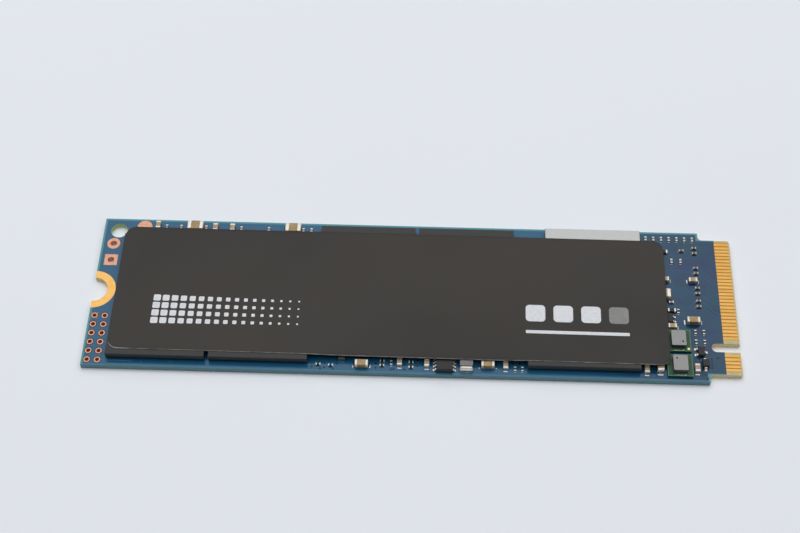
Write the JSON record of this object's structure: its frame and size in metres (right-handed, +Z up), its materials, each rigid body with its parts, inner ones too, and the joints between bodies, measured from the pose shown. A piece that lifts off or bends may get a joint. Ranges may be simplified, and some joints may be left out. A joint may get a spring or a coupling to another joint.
{
  "type": "gumstick solid state drive",
  "caption": "Thin card solid state drive with an edge connector, a half-round screw notch, memory and controller chips and a film label over them.",
  "frame": {"origin": "middle of the card's underside, on the bench it lies on", "axes": "+X along the card towards the edge connector, +Y across it towards the edge away from the key slot, +Z up out of the label"},
  "size_m": [0.08, 0.022, 0.0019],
  "materials": {
    "board_mask": "satin solder mask over laminate",
    "gold": "gold plate",
    "copper": "bare copper",
    "moulding": "matte moulding compound",
    "package_board": "dark laminate",
    "solder": "bright solder",
    "tinned": "tin plate",
    "lid_metal": "matte nickel plate",
    "die": "ground silicon",
    "module_board": "green laminate",
    "module_block": "pressed metal powder",
    "capacitor_ceramic": "fired ceramic",
    "resistor_glaze": "dark glaze",
    "ferrite": "matte ferrite",
    "label_film": "matte printed film"
  },
  "bodies": {
    "root": {"cache_balls": "solder", "cache_body": "moulding", "cache_substrate": "package_board", "capacitor_1005_bodies": "capacitor_ceramic", "capacitor_1005_ends": "tinned", "capacitor_1608_bodies": "capacitor_ceramic", "capacitor_1608_ends": "tinned", "capacitor_2012_bodies": "capacitor_ceramic", "capacitor_2012_ends": "tinned", "chip_0603_bodies": "resistor_glaze", "chip_0603_ends": "tinned", "circuit_board": "board_mask", "controller_balls": "solder", "controller_die": "die", "controller_lid": "lid_metal", "controller_substrate": "package_board", "diode_body": "moulding", "diode_leads": "tinned", "edge_contacts_bottom": "gold", "edge_contacts_top": "gold", "fiducial_pad": "copper", "filter_bead_bodies": "ferrite", "filter_bead_ends": "tinned", "flash_balls_1": "solder", "flash_balls_2": "solder", "flash_balls_3": "solder", "flash_balls_4": "solder", "flash_body_1": "moulding", "flash_body_2": "moulding", "flash_body_3": "moulding", "flash_body_4": "moulding", "flash_substrate_1": "package_board", "flash_substrate_2": "package_board", "flash_substrate_3": "package_board", "flash_substrate_4": "package_board", "ground_ring_bottom": "gold", "ground_ring_top": "gold", "header_eyelets": "copper", "inductor_bodies": "ferrite", "inductor_ends": "tinned", "logic_chip_body": "moulding", "logic_chip_leads": "tinned", "power_module_block_1": "module_block", "power_module_block_2": "module_block", "power_module_board_1": "module_board", "power_module_board_2": "module_board", "power_module_lands": "solder", "product_label": "label_film", "resistor_1005_bodies": "resistor_glaze", "resistor_1005_ends": "tinned", "switch_chip_body": "moulding", "switch_chip_leads": "tinned", "test_point_eyelets": "copper", "transistor_body": "moulding", "transistor_leads": "tinned"}
  },
  "joints": []
}
